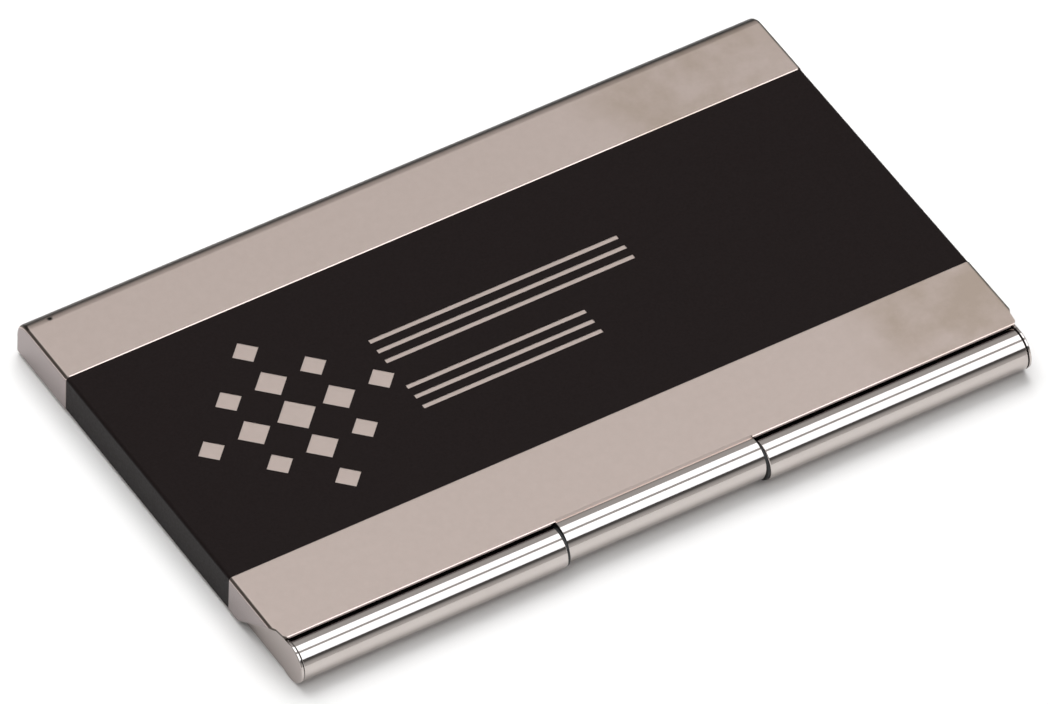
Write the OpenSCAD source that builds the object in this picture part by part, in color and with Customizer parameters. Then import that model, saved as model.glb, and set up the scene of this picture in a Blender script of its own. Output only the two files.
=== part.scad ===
// Slim two-tone metal business card case with a rolled barrel hinge along its front edge.
// Origin: centre of the closed case's footprint, on the surface it lies on.
// +X runs along the hinge, +Y from the hinge to the back edge, +Z up. All sizes in mm.

/* [Lid] */
// Width of the lid across its two side flanges
lid_w = 95; // [94.6:0.1:97]
// Depth of the lid from its free front edge to its back flange
lid_d = 55.7; // [55.5:0.1:57]
// Thickness of the sheet that both shells are pressed from
sheet_t = 0.3; // [0.25:0.05:0.35]
// Outside radius of the bends between the lid's top, its side flanges and its back flange's ends
lid_bend_r = 0.5; // [0.45:0.05:0.7]
// Outside radius of the wide round between the lid's top and its back flange
back_round_r = 2.4; // [2.2:0.1:2.6]
// Gap between the surface the case lies on and the flanges' lower edge
flange_lift = 0.6; // [0.4:0.05:1]
// Depth over which the flanges are cut away slantwise at the hinge end
flange_slant_d = 8.6; // [7:0.1:11]

/* [Band] */
// Width of the black band, measured from front to back
band_w = 34.4; // [28:0.1:36]
// Distance from the lid's front edge to the band
band_front = 10.65; // [9.5:0.05:12]
// Thickness of the band
band_t = 0.1; // [0.08:0.01:0.12]
// How far the band's surface lies below the lid's
band_sink = 0.07; // [0.04:0.01:0.08]
// Width of the small chamfers along the band and along the lid's free front edge
chamfer_w = 0.1; // [0.06:0.01:0.12]

/* [Ornament] */
// Distance from the lid's left side to the centre of the diamond lattice
lattice_x = 19; // [17:0.5:22]
// Distance between neighbouring diamonds, along X and along Y
lattice_pitch = 5.4; // [5:0.1:5.6]
// Side of the middle diamond
diamond_side = 3.5; // [2.6:0.1:3.7]
// How much smaller each diamond is than its inner neighbour
diamond_step = 0.55; // [0.2:0.05:0.7]
// Width of one engraved rule
rule_w = 0.65; // [0.4:0.05:1]
// Distance between neighbouring rules in a group
rule_pitch = 1.7; // [1.3:0.1:2.2]
// Length of the upper group of rules
upper_rule_len = 32; // [24:0.5:44]
// Length of the lower group of rules
lower_rule_len = 23; // [18:0.5:44]

/* [Hinge] */
// Distance from the lid's free front edge forward to the hinge axis
axis_ahead = 0.94; // [0.92:0.01:0.96]
// Height of the lid's top above the hinge axis
axis_drop = 2.93; // [2.92:0.01:2.95]
// Outside radius of the base's two knuckles, rolled about the hinge axis
knuckle_r = 2.5; // [2.46:0.01:2.5]
// Radius of the ears that close the barrel's ends
ear_r = 2.55; // [2.53:0.01:2.57]
// Distance from the lid's free front edge forward to the ears' centres
ear_ahead = 0.93; // [0.9:0.01:0.96]
// Outside radius of the lid's middle knuckle
lid_knuckle_r = 2.58; // [2.55:0.01:2.6]
// Distance from the lid's free front edge forward to the middle knuckle's centre
lid_knuckle_ahead = 0.5; // [0.48:0.01:0.6]
// Height of the lid's top above the middle knuckle's centre
lid_knuckle_drop = 2.75; // [2.73:0.01:2.77]
// Length of the lid's middle knuckle
middle_len = 25.2; // [20:0.2:34]
// Outside radius of the tubular hinge pin
pin_r = 1.45; // [1.35:0.01:1.46]
// Wall of the tubular hinge pin
pin_wall = 0.4; // [0.3:0.05:1.2]
// Radial clearance between the pin and the middle bush that turns on it
pin_fit = 0.05; // [0.02:0.01:0.08]
// Thickness of the end bushes' flanges, between the knuckles
flange_t = 0.3; // [0.2:0.05:0.5]
// Radius of the end bushes' flanges
flange_r = 2.35; // [2.3:0.01:2.4]
// Length of the end bushes' sleeves, inside the base's knuckles
sleeve_len = 4; // [2:0.5:10]

/* [Base] */
// How far the base is set in from the lid on each side
base_inset = 0.75; // [0.6:0.05:1]
// Gap between the lid's back flange and the base's back wall
back_gap = 0.45; // [0.45:0.05:0.7]
// Height of the base's side walls
wall_h = 5; // [4:0.1:5]
// How much lower the back wall is, to clear the lid's wide round
back_wall_drop = 1.7; // [1.6:0.1:2.2]
// Outside radius of the bend between the base's floor and its walls
base_bend_r = 0.45; // [0.4:0.05:0.9]
// Radius of the base's two back corners, seen from above
base_corner_r = 1.6; // [0.8:0.1:2]
// Slit between each end ear and its knuckle
ear_slit = 0.1; // [0.1:0.05:0.4]

/* [Spring plate] */
// Thickness of the spring plate
spring_t = 0.2; // [0.15:0.01:0.22]
// Width of the spring plate
spring_w = 23; // [16:0.5:24]
// Depth of the flat root that is riveted to the floor
root_d = 9; // [7:0.5:12]
// Length of the two card-lifting tongues
tongue_len = 22; // [14:0.5:30]
// Width of each tongue
tongue_w = 5; // [3:0.5:6]
// Height the tongues rise to at their tips
tongue_rise = 0.3; // [0.15:0.05:0.32]
// Height of the lip that bears on the middle knuckle
lip_h = 1.3; // [0.8:0.1:1.6]
// Radius of a rivet's shank
rivet_r = 0.8; // [0.6:0.05:1]
// Radius of a rivet's head
rivet_head_r = 1.5; // [1.2:0.1:1.8]
// Height of a rivet's head
rivet_head_h = 0.25; // [0.15:0.05:0.3]
// Distance between the two rivets
rivet_gap = 13; // [10:0.5:15]

/* [Hidden] */
$fn = 96;

big = 200;                                    // longer than the whole case
total_d = lid_d + ear_ahead + ear_r;          // depth over the ears and the back flange
back_y = total_d / 2;                         // lid's back face
front_y = back_y - lid_d;                     // lid's free front edge
ear_gap = 0.03;                               // gap between the ears and the lid's plate
top_z = 2 * ear_r + ear_gap + sheet_t;        // lid's top face
round_y = back_y - back_round_r;              // centre of the wide round along the back
round_z = top_z - back_round_r;               // its height above the surface
axis_y = front_y - axis_ahead;                // hinge axis, from front to back
axis_z = top_z - axis_drop;                   // hinge axis, above the resting surface
ear_y = front_y - ear_ahead;                  // centre of each ear
lid_knuckle_y = front_y - lid_knuckle_ahead;  // centre of the lid's knuckle
lid_knuckle_z = top_z - lid_knuckle_drop;     // its height above the surface
base_half_w = lid_w / 2 - base_inset;         // base's side faces
base_back_y = back_y - sheet_t - back_gap;    // base's back face
base_wall_x = base_half_w - sheet_t;          // inner faces of the ears and side walls
end_play = 0.05;                              // play of the middle knuckle at each flange
flange_x = middle_len / 2 + end_play;         // inner face of each end bush
knuckle_in_x = flange_x + flange_t;           // inner end of each base knuckle
knuckle_out_x = base_wall_x - ear_slit;       // outer end of each base knuckle
curl_gap = 0.5;                               // gap between a curl's free end and its sheet
notch_y = front_y + 1.7;                      // floor's edge behind the middle knuckle
spring_front_y = front_y + 2;                 // lip of the spring plate
rivet_y = spring_front_y + root_d / 2 + 0.6;  // row of the two rivets
band_y = front_y + band_front;                // front edge of the band
recess = band_sink + band_t;                  // depth of the lid's recess for the band
rule_x = 31.5 - lid_w / 2;                    // left end of both groups of rules
unflanged_d = 2.5;                            // plate without flanges, behind the front edge
crease_back = 0.33;                           // crease of the middle web behind the free edge
rule_up = 1.6;                                // upper rules, behind the band's middle line
rule_down = 2.2;                              // lower rules, in front of it
// the plate's cut front corners, as [in from its side, back from its front edge]
plate_corner = [[1, -1], [1, 0], [0.65, 0.4], [0.5, 1.6], [0, unflanged_d]];
// the creased web over the middle knuckle, as [back from the front edge, up from the top]
web = [
    [crease_back, 0], [0.12, -0.27], [-0.4, -0.5], [0.5, -1], [1.2, -sheet_t], [1.2, 0]
];
knuckle_round = 0.1;                          // rounding of the knuckle ends
ear_round = 0.12;                             // rounding of the ears' outer rims

// Draws a YZ outline, given as (y, z), from x0 to x1.
module along_x(x0, x1) {
    translate([x0, 0, 0])
        rotate([90, 0, 90])
            linear_extrude(x1 - x0)
                children();
}

// Draws an XZ outline, given as (x, z), from y0 to y1.
module along_y(y0, y1) {
    translate([0, y1, 0])
        rotate([90, 0, 0])
            linear_extrude(y1 - y0)
                children();
}

// Rectangle from (x0, y0) to (x1, y1) with its two upper corners rounded to radius r.
module top_rounded(x0, y0, x1, y1, r) {
    translate([x0, y0])
        square([x1 - x0, y1 - r - y0]);
    translate([x0 + r, y0])
        square([x1 - x0 - 2 * r, y1 - y0]);
    for (x = [x0 + r, x1 - r])
        translate([x, y1 - r])
            circle(r);
}

// The lid's outer form, shrunk by inset on its top, sides and back.
module lid_form(inset) {
    half = lid_w / 2 - inset;
    bend = max(lid_bend_r - inset, 0.1);
    along_y(-big, round_y)
        top_rounded(-half, -1, half, top_z - inset, bend);
    // the wide round along the back edge
    translate([0, round_y, round_z])
        rotate([90, 0, 90])
            rotate_extrude(angle = 90)
                mirror([1, -1])
                    top_rounded(-half, 0, half, back_round_r - inset, bend);
    // the back flange under the round
    translate([0, 0, -1])
        linear_extrude(1 + round_z)
            top_rounded(-half, round_y, half, back_y - inset, bend);
}

// Everything that is cut off the lid at its front: the slanted flange ends and the plate's corners.
module lid_front_cut() {
    along_x(-big, big)
        polygon([
            [-big, -2],
            [front_y + flange_slant_d, -2],
            [front_y + flange_slant_d, flange_lift],
            [front_y + unflanged_d, top_z - sheet_t - 0.05],
            [front_y, top_z - sheet_t - 0.05],
            [front_y, top_z - band_sink],
            [front_y + chamfer_w, top_z],
            [front_y + chamfer_w, big],
            [-big, big]
        ]);
    for (side = [-1, 1])
        translate([0, 0, -1])
            linear_extrude(big)
                polygon([
                    for (p = plate_corner) [side * (lid_w / 2 - p[0]), front_y + p[1]],
                    [side * big, front_y + unflanged_d],
                    [side * big, front_y - 1]
                ]);
}

// Outline of the cut for one of the band's chamfers, as (outward from the lid's surface, away
// from the band).
module chamfer_outline() {
    polygon([
        [-band_sink, -chamfer_w],
        [-band_sink, 0],
        [0, chamfer_w],
        [band_sink, chamfer_w],
        [band_sink, -chamfer_w]
    ]);
}

// Cuts the chamfer along the band's back edge, over the lid's top, bends and flanges.
module back_chamfer() {
    flat_x = lid_w / 2 - lid_bend_r;
    flat_z = top_z - lid_bend_r;
    translate([0, band_y + band_w, 0]) {
        translate([-flat_x, 0, top_z])
            rotate([90, 0, 90])
                linear_extrude(2 * flat_x)
                    mirror([1, -1])
                        chamfer_outline();
        for (side = [0, 1])
            mirror([side, 0, 0]) {
                translate([lid_w / 2, 0, -1])
                    linear_extrude(1 + flat_z)
                        chamfer_outline();
                translate([flat_x, 0, flat_z])
                    rotate([-90, -90, 0])
                        rotate_extrude(angle = 90)
                            translate([lid_bend_r, 0])
                                chamfer_outline();
            }
    }
}

// Outline of the lid's middle knuckle and of the creased web that joins it to the plate.
module middle_knuckle_outline() {
    translate([lid_knuckle_y, lid_knuckle_z])
        circle(lid_knuckle_r);
    translate([front_y, top_z])
        polygon(web);
}

// The knuckle rolled from the lid's sheet, open where its free end comes back to the plate.
module middle_knuckle() {
    along_x(-middle_len / 2, middle_len / 2)
        difference() {
            middle_knuckle_outline();
            translate([lid_knuckle_y, lid_knuckle_z]) {
                circle(lid_knuckle_r - sheet_t);
                rotate(38)
                    translate([lid_knuckle_r - 2 * sheet_t, -curl_gap / 2])
                        square([3 * sheet_t, curl_gap]);
            }
        }
}

module lid_shell() {
    color([0.74, 0.69, 0.64]) {
        difference() {
            lid_form(0);
            lid_form(sheet_t);
            translate([-big, -big, -big])
                cube([2 * big, 2 * big, big + flange_lift]);
            lid_front_cut();
            // the plate stops at the crease over the middle knuckle
            translate([-middle_len / 2, front_y - 1, top_z - 1])
                cube([middle_len, 1 + crease_back, 2]);
            // recess for the band
            difference() {
                translate([-big, band_y, -1])
                    cube([2 * big, band_w, big]);
                lid_form(recess);
            }
            back_chamfer();
            // the same chamfer along the band's front edge
            translate([0, 2 * band_y + band_w, 0])
                mirror([0, 1, 0])
                    back_chamfer();
        }
        middle_knuckle();
    }
}

// The engraved ornament: a lattice of diamonds and two groups of fine rules.
module ornament() {
    reach = 2;
    mid_y = band_y + band_w / 2;
    for (i = [-reach:reach], j = [-reach:reach])
        if (abs(i) + abs(j) <= reach) {
            side = diamond_side - diamond_step * (abs(i) + abs(j));
            translate([lattice_x - lid_w / 2 + i * lattice_pitch, mid_y + j * lattice_pitch])
                rotate(45)
                    square(side, center = true);
        }
    for (k = [0:2]) {
        translate([rule_x, mid_y + rule_up + k * rule_pitch])
            square([upper_rule_len, rule_w]);
        translate([rule_x, mid_y - rule_down - k * rule_pitch - rule_w])
            square([lower_rule_len, rule_w]);
    }
}

module lid_band() {
    color([0.12, 0.11, 0.11])
        difference() {
            intersection() {
                lid_form(band_sink);
                translate([-big, band_y, flange_lift])
                    cube([2 * big, band_w, big]);
            }
            lid_form(recess);
            translate([0, 0, top_z - 1])
                linear_extrude(2)
                    ornament();
        }
}

// The base's outer form up to the given height, shrunk by inset on its floor, sides and back.
module base_form(inset, height) {
    half = base_half_w - inset;
    bend = max(base_bend_r - inset, 0.1);
    corner = max(base_corner_r - inset, 0.2);
    intersection() {
        along_y(-big, big)
            mirror([0, 1])
                top_rounded(-half, -height, half, -inset, bend);
        along_x(-big, big)
            mirror([0, 1])
                top_rounded(-big, -height, base_back_y - inset, -inset, bend);
        linear_extrude(height)
            top_rounded(-half, -big, half, base_back_y - inset, corner);
    }
}

// A base knuckle from x0 to x1, rolled up from the floor's front edge, with rounded end edges.
module base_knuckle(x0, x1) {
    difference() {
        union() {
            translate([x0, axis_y, axis_z])
                rotate([0, 90, 0])
                    rotate_extrude()
                        knuckle_section(x1 - x0);
            along_x(x0, x1)
                translate([axis_y, axis_z - knuckle_r])
                    square([knuckle_r + 1, sheet_t]);
        }
        along_x(-big, big)
            translate([axis_y, axis_z])
                circle(knuckle_r - sheet_t);
        // gap between the curl's free end and the floor
        along_x(-big, big)
            translate([axis_y, sheet_t])
                square([knuckle_r + 2, curl_gap]);
    }
}

// Half section of a knuckle of length len, with both outer corners rounded.
module knuckle_section(len) {
    translate([0, knuckle_round])
        square([knuckle_r, len - 2 * knuckle_round]);
    square([knuckle_r - knuckle_round, len]);
    for (y = [knuckle_round, len - knuckle_round])
        translate([knuckle_r - knuckle_round, y])
            circle(knuckle_round, $fn = 32);
}

// The right-hand ear, which closes the barrel's end: a disc with a rounded outer rim.
module ear() {
    translate([base_wall_x, ear_y, ear_r])
        rotate([0, 90, 0])
            rotate_extrude() {
                square([ear_r, sheet_t - ear_round]);
                square([ear_r - ear_round, sheet_t]);
                translate([ear_r - ear_round, sheet_t - ear_round])
                    circle(ear_round, $fn = 32);
            }
}

module rivet_places() {
    for (side = [-1, 1])
        translate([side * rivet_gap / 2, rivet_y, 0])
            children();
}

module base_tray() {
    color([0.72, 0.69, 0.66])
        difference() {
            union() {
                difference() {
                    base_form(0, wall_h);
                    base_form(sheet_t, wall_h + 1);
                    // the back wall is low and the side walls slope down to it
                    along_x(-big, big)
                        polygon([
                            [round_y, wall_h],
                            [round_y + back_wall_drop, wall_h - back_wall_drop],
                            [big, wall_h - back_wall_drop],
                            [big, big],
                            [round_y, big]
                        ]);
                    // open front, in line with the ears' centres
                    translate([-big, ear_y - big, -1])
                        cube([2 * big, big, big]);
                    // the floor ends under the knuckles
                    translate([-knuckle_out_x, ear_y - 1, -1])
                        cube([2 * knuckle_out_x, ear_ahead + 1.3, 3]);
                    // notch that the lid's middle knuckle turns in
                    translate([-knuckle_in_x, ear_y - 1, -1])
                        cube([2 * knuckle_in_x, notch_y - ear_y + 1, 3]);
                    // slits between the knuckles and the ears
                    for (x = [-knuckle_out_x - ear_slit, knuckle_out_x])
                        translate([x, ear_y - 1, -1])
                            cube([ear_slit, 1 + ear_ahead + 1.6, big]);
                }
                ear();
                mirror([1, 0, 0])
                    ear();
                base_knuckle(knuckle_in_x, knuckle_out_x);
                base_knuckle(-knuckle_out_x, -knuckle_in_x);
            }
            rivet_places()
                translate([0, 0, -1])
                    cylinder(r = rivet_r, h = 3);
        }
}

module hinge_pin() {
    color([0.6, 0.6, 0.62])
        translate([-base_wall_x, axis_y, axis_z])
            rotate([0, 90, 0])
                difference() {
                    cylinder(r = pin_r, h = 2 * base_wall_x);
                    translate([0, 0, -1])
                        cylinder(r = pin_r - pin_wall, h = 2 * base_wall_x + 2);
                }
}

// The bush that fills the lid's knuckle and turns on the pin.
module middle_bush() {
    color([0.08, 0.08, 0.08])
        along_x(-middle_len / 2, middle_len / 2)
            difference() {
                translate([lid_knuckle_y, lid_knuckle_z])
                    circle(lid_knuckle_r - sheet_t);
                translate([axis_y, axis_z])
                    circle(pin_r + pin_fit);
            }
}

// The right-hand end bush: a flange between two knuckles and a sleeve that holds the pin.
module end_bush() {
    color([0.08, 0.08, 0.08])
        translate([flange_x, axis_y, axis_z])
            rotate([0, 90, 0])
                difference() {
                    union() {
                        cylinder(r = flange_r, h = flange_t);
                        cylinder(r = knuckle_r - sheet_t, h = flange_t + sleeve_len);
                    }
                    translate([0, 0, -1])
                        cylinder(r = pin_r, h = flange_t + sleeve_len + 2);
                }
}

module end_bush_left() {
    mirror([1, 0, 0])
        end_bush();
}

module end_bush_right() {
    end_bush();
}

// A card-lifting tongue whose left edge is at x: a thin strip that slopes up to its tip.
module tongue(x) {
    y0 = spring_front_y + root_d;
    y1 = y0 + tongue_len;
    z0 = sheet_t;
    z1 = sheet_t + tongue_rise;
    along_x(x, x + tongue_w)
        polygon([
            [y0 - 1, z0],
            [y0, z0],
            [y1, z1],
            [y1, z1 + spring_t],
            [y0, z0 + spring_t],
            [y0 - 1, z0 + spring_t]
        ]);
}

module spring_plate() {
    color([0.5, 0.52, 0.55])
        difference() {
            union() {
                translate([-spring_w / 2, spring_front_y, sheet_t])
                    cube([spring_w, root_d, spring_t]);
                translate([-spring_w / 2, spring_front_y, sheet_t])
                    cube([spring_w, spring_t, lip_h]);
                tongue(-spring_w / 2);
                tongue(spring_w / 2 - tongue_w);
            }
            rivet_places()
                cylinder(r = rivet_r, h = 3);
        }
}

module spring_rivets() {
    color([0.66, 0.64, 0.6])
        rivet_places() {
            cylinder(r = rivet_r, h = sheet_t + spring_t + rivet_head_h);
            translate([0, 0, sheet_t + spring_t])
                cylinder(r = rivet_head_r, h = rivet_head_h);
        }
}

lid_shell();
lid_band();
middle_bush();
base_tray();
hinge_pin();
end_bush_left();
end_bush_right();
spring_plate();
spring_rivets();
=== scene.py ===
"""Slim two-tone metal business card case, closed, on a plain pale floor."""
import math

import bpy
from mathutils import Matrix, Vector


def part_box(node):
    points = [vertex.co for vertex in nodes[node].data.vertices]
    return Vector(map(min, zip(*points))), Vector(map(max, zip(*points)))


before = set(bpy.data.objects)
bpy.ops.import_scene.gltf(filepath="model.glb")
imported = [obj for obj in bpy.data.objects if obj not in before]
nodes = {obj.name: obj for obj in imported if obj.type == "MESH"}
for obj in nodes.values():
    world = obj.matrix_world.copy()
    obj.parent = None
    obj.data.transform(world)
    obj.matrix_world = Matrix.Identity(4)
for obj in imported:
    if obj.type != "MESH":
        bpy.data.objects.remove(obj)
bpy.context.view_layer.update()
MM = 0.001


# ---------------------------------------------------------------- node helpers

def new_material(name):
    """A material with an empty node tree but for its shader and output."""
    mat = bpy.data.materials.new(name)
    mat.use_nodes = True
    tree = mat.node_tree
    tree.nodes.clear()
    out = tree.nodes.new("ShaderNodeOutputMaterial")
    shader = tree.nodes.new("ShaderNodeBsdfPrincipled")
    tree.links.new(shader.outputs["BSDF"], out.inputs["Surface"])
    return mat, tree, shader


def feed(tree, value, socket):
    """Puts a number, a colour or another socket's value into a socket."""
    if isinstance(value, bpy.types.NodeSocket):
        tree.links.new(value, socket)
    elif isinstance(value, tuple):
        socket.default_value = (*value, 1)
    else:
        socket.default_value = value


def object_coords(tree):
    """Places in the case's frame, in metres."""
    return tree.nodes.new("ShaderNodeTexCoord").outputs["Object"]


def surface_normal(tree):
    """The surface's own direction, in the case's frame."""
    return tree.nodes.new("ShaderNodeTexCoord").outputs["Normal"]


def axes(tree, vector):
    """The X, Y and Z of a vector."""
    split = tree.nodes.new("ShaderNodeSeparateXYZ")
    tree.links.new(vector, split.inputs["Vector"])
    return split.outputs


def noise(tree, coords, scale, detail=3.0, rough=0.5, stretch=(1, 1, 1)):
    """Noise in object space: scale is in cells a metre, after stretching the coordinates."""
    mapping = tree.nodes.new("ShaderNodeMapping")
    mapping.inputs["Scale"].default_value = stretch
    tex = tree.nodes.new("ShaderNodeTexNoise")
    tex.inputs["Scale"].default_value = scale
    tex.inputs["Detail"].default_value = detail
    tex.inputs["Roughness"].default_value = rough
    tree.links.new(coords, mapping.inputs["Vector"])
    tree.links.new(mapping.outputs["Vector"], tex.inputs["Vector"])
    return tex.outputs["Fac"]


def remap(tree, value, low, high, out_low, out_high):
    """value from low..high to out_low..out_high, clamped."""
    node = tree.nodes.new("ShaderNodeMapRange")
    node.inputs["From Min"].default_value = low
    node.inputs["From Max"].default_value = high
    node.inputs["To Min"].default_value = out_low
    node.inputs["To Max"].default_value = out_high
    tree.links.new(value, node.inputs["Value"])
    return node.outputs["Result"]


def above(tree, value, edge, soft=1e-5):
    """0 where value is under edge and 1 where it is over, blending within soft of it."""
    return remap(tree, value, edge - soft, edge + soft, 0, 1)


def below(tree, value, edge, soft=1e-5):
    """1 where value is under edge and 0 where it is over, blending within soft of it."""
    return remap(tree, value, edge - soft, edge + soft, 1, 0)


def math_node(tree, operation, first, second=0.0):
    """One maths step on two values, each a number or a socket."""
    node = tree.nodes.new("ShaderNodeMath")
    node.operation = operation
    feed(tree, first, node.inputs[0])
    feed(tree, second, node.inputs[1])
    return node.outputs[0]


def all_of(tree, first, *others):
    """The product of several masks."""
    for other in others:
        first = math_node(tree, "MULTIPLY", first, other)
    return first


def spot(tree, coords, centre, radius):
    """1 at centre, falling to 0 at radius."""
    node = tree.nodes.new("ShaderNodeVectorMath")
    node.operation = "DISTANCE"
    node.inputs[1].default_value = centre
    tree.links.new(coords, node.inputs[0])
    return remap(tree, node.outputs["Value"], 0, radius, 1, 0)


def mix_colours(tree, factor, first, second):
    """A colour between first and second, each a colour or a socket."""
    node = tree.nodes.new("ShaderNodeMix")
    node.data_type = "RGBA"
    tree.links.new(factor, node.inputs["Factor"])
    feed(tree, first, node.inputs[6])
    feed(tree, second, node.inputs[7])
    return node.outputs[2]


def mix_values(tree, factor, first, second):
    """A value between first and second, each a number or a socket."""
    node = tree.nodes.new("ShaderNodeMix")
    node.data_type = "FLOAT"
    tree.links.new(factor, node.inputs["Factor"])
    feed(tree, first, node.inputs[2])
    feed(tree, second, node.inputs[3])
    return node.outputs[0]


def bump(tree, shader, height, depth):
    """Adds a relief of up to depth metres, where height is 0 to 1, to the shader's normal."""
    node = tree.nodes.new("ShaderNodeBump")
    node.inputs["Strength"].default_value = 1.0
    node.inputs["Distance"].default_value = depth
    tree.links.new(height, node.inputs["Height"])
    if shader.inputs["Normal"].is_linked:
        tree.links.new(shader.inputs["Normal"].links[0].from_socket, node.inputs["Normal"])
    tree.links.new(node.outputs["Normal"], shader.inputs["Normal"])


# ------------------------------------------------------------------- materials

lid_lo, lid_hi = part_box("lid_shell")
tray_lo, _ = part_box("base_tray")
# the flat top with its back round, from the edge over the barrel
PLATE_DEPTH = 55.7 * MM
plate_front = lid_hi.y - PLATE_DEPTH

# how far the lid's bends reach in from its sides and its back
SIDE_BEND = 0.5 * MM
BACK_ROUND = 2.3 * MM
# the front corners' cut edges, and the slanted ones behind them, which get painted shade
CORNER_WIDTH, CORNER_DEPTH = 1.05 * MM, 2.45 * MM
SLANT_WIDTH, SLANT_DEPTH = 0.35 * MM, 8.7 * MM
# the slit beside an ear, from the tray's side; the left one gets painted shade
SLIT_START, SLIT_END = 0.27 * MM, 0.53 * MM

# colours are linear RGB; in a pair the first is the light one
PLATE_TONES = (0.745, 0.622, 0.566), (0.718, 0.597, 0.541)
STAIN = (0.55, 0.44, 0.355)
PIT = (0.02, 0.02, 0.015)
# painted shade for the outsides of the side bends and of the back round, the light tone on the
# left
SIDE_BEND_SHADE_TONES = (0.17, 0.14, 0.125), (0.07, 0.058, 0.05)
BACK_ROUND_SHADE_TONES = (0.08, 0.066, 0.057), (0.045, 0.037, 0.032)
# painted shade: the flanges' darker colour stands in for the shaded floor they mirror
FLANGE_SHADE = (0.305, 0.26, 0.254)
# painted shade on the sheet's cut edges
CUT_EDGE_SHADE = (0.09, 0.075, 0.065)
LID_KNUCKLE = (0.555, 0.51, 0.485)
BARREL_TONES = (0.565, 0.52, 0.495), (0.535, 0.485, 0.46)
TRAY_INSIDE = (0.40, 0.37, 0.355)
# painted shade: the tray's sides, ears included, are darker than the barrel
SIDE_SHADE = (0.41, 0.36, 0.34)
# painted shade in the slit beside the left-hand ear
SLIT_SHADE = (0.02, 0.018, 0.016)


def stained(tree, coords, outer, colour):
    """colour with brown clouds near the right-hand corners and a small pit at the back left."""
    cloud = remap(tree, noise(tree, coords, 130, 5, 0.6), 0.38, 0.62, 0.15, 1)
    right_back = Vector((lid_hi.x - 12 * MM, lid_hi.y - 5.5 * MM, lid_hi.z))
    right_front = Vector((lid_hi.x - 6 * MM, plate_front + 5.5 * MM, lid_hi.z))
    for centre, radius in ((right_back, 15 * MM), (right_front, 13 * MM)):
        stain = remap(tree, spot(tree, coords, centre, radius), 0, 0.5, 0, 0.75)
        colour = mix_colours(tree, all_of(tree, cloud, outer, stain), colour, STAIN)
    left_back = Vector((lid_lo.x + 3.1 * MM, lid_hi.y - 2.0 * MM, lid_hi.z))
    pit = remap(tree, spot(tree, coords, left_back, 0.45 * MM), 0.1, 0.6, 0, 1)
    return mix_colours(tree, all_of(tree, pit, outer), colour, PIT)


def painted_bend_shade(tree, place, across, normal_z, outer, colour):
    """colour with painted shade on the outside of the side bends and the back round, most on the
    right.
    """
    to_right = remap(tree, place[0], -20 * MM, 20 * MM, 0, 1)
    side_bend_shade = all_of(
        tree,
        outer,
        above(tree, across, lid_hi.x - SIDE_BEND),
        remap(tree, normal_z, 0.90, 0.97, 1, 0),
    )
    colour = mix_colours(tree, side_bend_shade, colour, mix_colours(tree, to_right, *SIDE_BEND_SHADE_TONES))
    back_round_shade = all_of(
        tree,
        above(tree, place[1], lid_hi.y - BACK_ROUND),
        remap(tree, normal_z, 0.93, 0.98, 1, 0),
        remap(tree, normal_z, 0.54, 0.64, 0, 1),
    )
    return mix_colours(tree, back_round_shade, colour, mix_colours(tree, to_right, *BACK_ROUND_SHADE_TONES))


def cut_edges(tree, place, across, normal_z, upright):
    """1 on the sheet's cut edges at the lid's front corners, where painted shade darkens them."""
    corner = all_of(
        tree,
        upright,
        above(tree, across, lid_hi.x - CORNER_WIDTH),
        below(tree, place[1], plate_front + CORNER_DEPTH),
    )
    slant = all_of(
        tree,
        remap(tree, normal_z, -0.6, -0.4, 1, 0),
        above(tree, across, lid_hi.x - SLANT_WIDTH),
        below(tree, place[1], plate_front + SLANT_DEPTH),
    )
    return math_node(tree, "MAXIMUM", corner, slant)


def lid_metal(name):
    """Warm satin plate with faint tarnish, painted shade on its bends, flanges and cut edges, and
    a polished knuckle.
    """
    mat, tree, shader = new_material(name)
    coords = object_coords(tree)
    place = axes(tree, coords)
    across = math_node(tree, "ABSOLUTE", place[0])
    _, _, normal_z = axes(tree, surface_normal(tree))
    outer = remap(tree, normal_z, 0.35, 0.5, 0, 1)
    upright = remap(tree, math_node(tree, "ABSOLUTE", normal_z), 0.25, 0.4, 1, 0)
    knuckle = below(tree, place[1], plate_front - 0.05 * MM)

    mottle = remap(tree, noise(tree, coords, 900, 4, 0.65), 0.3, 0.7, 0, 1)
    colour = mix_colours(tree, mottle, *PLATE_TONES)
    colour = stained(tree, coords, outer, colour)
    # painted shade on the bends, darker towards the right
    colour = painted_bend_shade(tree, place, across, normal_z, outer, colour)
    # the upright flanges are darkened as painted shade
    colour = mix_colours(tree, upright, colour, FLANGE_SHADE)
    # the cut edges are darkened as painted shade
    edges = cut_edges(tree, place, across, normal_z, upright)
    colour = mix_colours(tree, edges, colour, CUT_EDGE_SHADE)
    feed(tree, mix_colours(tree, knuckle, colour, LID_KNUCKLE), shader.inputs["Base Color"])

    grain = noise(tree, coords, 5200, 3, 0.6)
    satin = mix_values(tree, upright, remap(tree, grain, 0.3, 0.7, 0.34, 0.41), 0.26)
    feed(tree, mix_values(tree, knuckle, satin, 0.07), shader.inputs["Roughness"])
    shader.inputs["Metallic"].default_value = 1.0
    bump(tree, shader, noise(tree, coords, 45, 2), 4e-6)
    bump(tree, shader, grain, 0.3e-6)
    return mat


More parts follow.
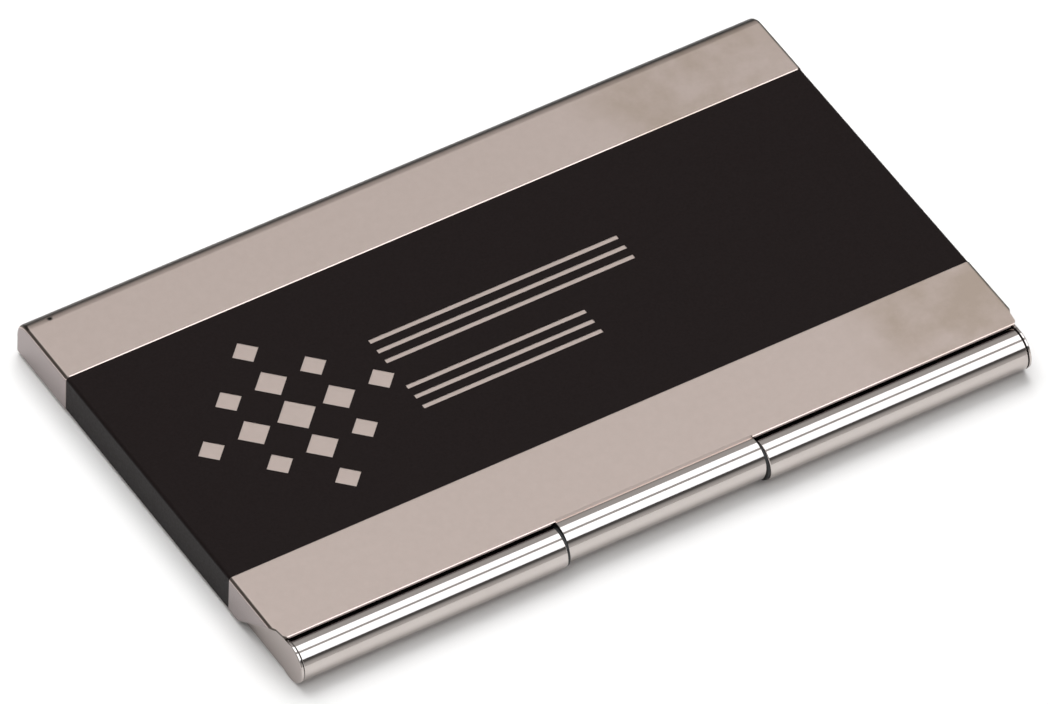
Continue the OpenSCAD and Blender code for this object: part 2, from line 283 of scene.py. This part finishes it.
def tray_metal(name):
    """Polished barrel, duller walls and floor, sides darkened as painted shade, and painted shade
    in the slit beside the left-hand ear.
    """
    mat, tree, shader = new_material(name)
    coords = object_coords(tree)
    place_x, place_y, _ = axes(tree, coords)
    normal_x, _, _ = axes(tree, surface_normal(tree))
    inside = above(tree, place_y, plate_front + 0.5 * MM)
    side = above(tree, math_node(tree, "ABSOLUTE", normal_x), 0.85, 0.1)
    # painted shade in the gap between the left ear and the barrel
    left_slit_shade = all_of(
        tree,
        side,
        above(tree, place_x, tray_lo.x + SLIT_START),
        below(tree, place_x, tray_lo.x + SLIT_END),
        below(tree, place_y, plate_front + 0.6 * MM),
    )

    cloud = remap(tree, noise(tree, coords, 60, 4, 0.6), 0.35, 0.7, 0, 1)
    colour = mix_colours(tree, cloud, *BARREL_TONES)
    # the sides and the left slit take darker tones as painted shade; the inside takes the duller
    # metal's own tone
    for mask, tone in ((inside, TRAY_INSIDE), (side, SIDE_SHADE), (left_slit_shade, SLIT_SHADE)):
        colour = mix_colours(tree, mask, colour, tone)
    feed(tree, colour, shader.inputs["Base Color"])

    fine = noise(tree, coords, 2600, 3, 0.6, (0.25, 1, 1))
    polished = remap(tree, fine, 0.3, 0.7, 0.06, 0.09)
    satin = mix_values(tree, side, remap(tree, fine, 0.3, 0.7, 0.36, 0.44), 0.26)
    dull = math_node(tree, "MAXIMUM", inside, side)
    feed(tree, mix_values(tree, dull, polished, satin), shader.inputs["Roughness"])
    shader.inputs["Metallic"].default_value = 1.0
    bump(tree, shader, noise(tree, coords, 120, 2, 0.5, (0.5, 1, 1)), 5e-6)
    return mat


def metal(name, light, dark, roughness, grain, wave):
    """Satin metal: cloudy tone, with a fine grain and a faint waviness, both in metres."""
    mat, tree, shader = new_material(name)
    coords = object_coords(tree)
    cloud = remap(tree, noise(tree, coords, 60, 4, 0.6), 0.35, 0.7, 0, 1)
    feed(tree, mix_colours(tree, cloud, light, dark), shader.inputs["Base Color"])
    fine = noise(tree, coords, 2500, 3, 0.6, (0.25, 1, 1))
    rough = remap(tree, fine, 0.3, 0.7, roughness * 0.85, roughness * 1.15)
    feed(tree, rough, shader.inputs["Roughness"])
    shader.inputs["Metallic"].default_value = 1.0
    bump(tree, shader, noise(tree, coords, 45, 2), wave)
    bump(tree, shader, fine, grain)
    return mat


def black_coat(name):
    """Matte black coating with a fine powdery grain."""
    mat, tree, shader = new_material(name)
    speck = noise(tree, object_coords(tree), 3200, 2, 0.7)
    tone = remap(tree, speck, 0.3, 0.75, 0, 1)
    colour = mix_colours(tree, tone, (0.0056, 0.0028, 0.0026), (0.0100, 0.0062, 0.0060))
    feed(tree, colour, shader.inputs["Base Color"])
    feed(tree, remap(tree, speck, 0.3, 0.7, 0.42, 0.55), shader.inputs["Roughness"])
    shader.inputs["Specular IOR Level"].default_value = 0.105
    bump(tree, shader, speck, 3e-6)
    return mat


def matte_plastic(name):
    """Near-black plastic with a slight fleck."""
    mat, tree, shader = new_material(name)
    speck = noise(tree, object_coords(tree), 2000, 2)
    colour = mix_colours(tree, speck, (0.008, 0.008, 0.008), (0.02, 0.02, 0.02))
    feed(tree, colour, shader.inputs["Base Color"])
    shader.inputs["Roughness"].default_value = 0.6
    return mat


def floor_material():
    """Even, nearly white and with hardly any shine."""
    mat, _, shader = new_material("pale_floor")
    shader.inputs["Base Color"].default_value = (0.93, 0.93, 0.93, 1)
    shader.inputs["Roughness"].default_value = 0.8
    shader.inputs["Specular IOR Level"].default_value = 0.1
    return mat


plastic = matte_plastic("bush_plastic")
LOOKS = {
    "lid_shell": lid_metal("lid_metal"),
    "lid_band": black_coat("black_coat"),
    "middle_bush": plastic,
    "base_tray": tray_metal("base_metal"),
    "hinge_pin": metal("pin_steel", (0.58, 0.58, 0.6), (0.5, 0.5, 0.52), 0.3, 1e-6, 1e-6),
    "end_bush_left": plastic,
    "end_bush_right": plastic,
    "spring_plate": metal("spring_steel", (0.5, 0.51, 0.54), (0.42, 0.43, 0.46), 0.3, 1e-6, 2e-6),
    "spring_rivets": metal("rivet_steel", (0.62, 0.6, 0.57), (0.55, 0.53, 0.5), 0.25, 1e-6, 1e-6),
}
for node_name, look in LOOKS.items():
    mesh = nodes[node_name].data
    mesh.materials.clear()
    mesh.materials.append(look)


# ----------------------------------------------------------------------- stage

def put(obj, right, up, back, place):
    """Links an object into the scene at place, its X, Y and Z along right, up and back."""
    obj.matrix_world = Matrix((
        (right.x, up.x, back.x, place.x),
        (right.y, up.y, back.y, place.y),
        (right.z, up.z, back.z, place.z),
        (0, 0, 0, 1),
    ))
    bpy.context.scene.collection.objects.link(obj)


def square(name, half_side):
    """A level square centred on the origin."""
    corners = [(x * half_side, y * half_side, 0) for x, y in ((-1, -1), (1, -1), (1, 1), (-1, 1))]
    mesh = bpy.data.meshes.new(name)
    mesh.from_pydata(corners, [], [(0, 1, 2, 3)])
    obj = bpy.data.objects.new(name, mesh)
    bpy.context.scene.collection.objects.link(obj)
    return obj


def area_light(name, place, away, length, width, radiance):
    """A rectangular light at place, whose back faces away and whose length runs level."""
    data = bpy.data.lights.new(name, "AREA")
    data.shape = "RECTANGLE"
    data.size, data.size_y = length, width
    data.energy = radiance * math.pi * length * width
    obj = bpy.data.objects.new(name, data)
    level = Vector((0, 0, 1)).cross(away).normalized()
    if level.x < 0:
        level = -level
    put(obj, level, away.cross(level), away, place)
    obj.visible_camera = False
    return obj


SOFTBOX_DISTANCE = 1.8
SOFTBOX_LENGTH = 2.6
SOFTBOX_RADIANCE = 1.8
SOFTBOX_COLOUR = (0.93, 0.985, 1.04)


def softbox(name, angle, width, shift_x):
    """A long soft light seen in the metal only, level with the case's length.

    angle is in the YZ plane, in degrees: 90 is overhead and 180 in front.
    """
    turn = math.radians(angle)
    away = Vector((0, math.cos(turn), math.sin(turn)))
    place = away * SOFTBOX_DISTANCE + Vector((shift_x, 0, 0))
    light = area_light(name, place, away, SOFTBOX_LENGTH, width, SOFTBOX_RADIANCE)
    light.data.color = SOFTBOX_COLOUR
    light.visible_diffuse = False


def unmirrored_light(name, way, distance, side, radiance):
    """A square light in the direction way that the metal doesn't mirror."""
    way = Vector(way).normalized()
    area_light(name, way * distance, way, side, side, radiance).visible_glossy = False


floor = square("floor", 30)
floor.data.materials.append(floor_material())

softbox("overhead_softbox", 83, 0.96, 0.7)
softbox("front_softbox", 126, 1.12, 0.9)
# the key comes from above and behind, so the soft shadow falls to the front
unmirrored_light("key_softbox", (0.10, 0.48, 0.85), 1.0, 0.85, 3.2)
# a wide fill softens that shadow
unmirrored_light("fill_softbox", (-0.1, 0.0, 1.0), 1.6, 2.4, 0.62)


def grey_ramp(tree, value, stops):
    """A slightly warm grey that follows the stops, each a place and a level."""
    ramp = tree.nodes.new("ShaderNodeValToRGB")
    elements = ramp.color_ramp.elements
    elements[0].position, elements[-1].position = stops[0][0], stops[-1][0]
    for place, _ in stops[1:-1]:
        elements.new(place)
    for element, (_, level) in zip(elements, stops):
        element.color = (level, level * 0.985, level * 0.97, 1)
    tree.links.new(value, ramp.inputs["Fac"])
    return ramp.outputs["Color"]


def studio_world():
    """An even grey overhead, a dark band above the horizon and a pale horizon in front."""
    world = bpy.data.worlds.new("studio")
    world.use_nodes = True
    tree = world.node_tree
    tree.nodes.clear()
    out = tree.nodes.new("ShaderNodeOutputWorld")
    background = tree.nodes.new("ShaderNodeBackground")
    way = tree.nodes.new("ShaderNodeTexCoord").outputs["Generated"]
    _, way_y, way_z = axes(tree, way)
    # a stop's place is 0 on the horizon and would be 1 straight overhead
    in_front = ((0.0, 0.75), (0.13, 0.6), (0.28, 0.42), (0.40, 0.10), (0.56, 0.12), (0.66, 0.55))
    behind = ((0.0, 0.12), (0.45, 0.15), (0.60, 0.45), (0.66, 0.55))
    ramps = [grey_ramp(tree, way_z, stops) for stops in (in_front, behind)]
    colour = mix_colours(tree, remap(tree, way_y, -0.15, 0.15, 0, 1), *ramps)
    tree.links.new(colour, background.inputs["Color"])
    tree.links.new(background.outputs["Background"], out.inputs["Surface"])
    bpy.context.scene.world = world


studio_world()
bpy.context.scene.view_settings.view_transform = "Standard"


# ---------------------------------------------------------------------- camera

AZIMUTH, ELEVATION, ROLL = map(math.radians, (-33.494, 46.175, 2.42))
CAMERA_DISTANCE = 1.8525
LENS, SENSOR_WIDTH = 580.73, 36
# the view is centred on a point of the lid's top, moved a little in the picture's plane
AIM_DEPTH = 27.35 * MM
AIM_RIGHT, AIM_UP = 0.343 * MM, -3.316 * MM


def add_camera():
    """A long lens at the viewing angle of the product shot, aimed near the lid's middle."""
    back = Vector((
        math.sin(AZIMUTH) * math.cos(ELEVATION),
        -math.cos(AZIMUTH) * math.cos(ELEVATION),
        math.sin(ELEVATION),
    ))
    right = Vector((math.cos(AZIMUTH), math.sin(AZIMUTH), 0))
    up = back.cross(right)
    right, up = (
        right * math.cos(ROLL) + up * math.sin(ROLL),
        up * math.cos(ROLL) - right * math.sin(ROLL),
    )
    aim = Vector((0, plate_front + AIM_DEPTH, lid_hi.z)) + right * AIM_RIGHT + up * AIM_UP
    data = bpy.data.cameras.new("camera")
    data.sensor_width = SENSOR_WIDTH
    data.lens = LENS
    data.clip_start, data.clip_end = 0.05, 100
    cam = bpy.data.objects.new("camera", data)
    put(cam, right, up, back, aim + back * CAMERA_DISTANCE)
    bpy.context.scene.camera = cam


add_camera()
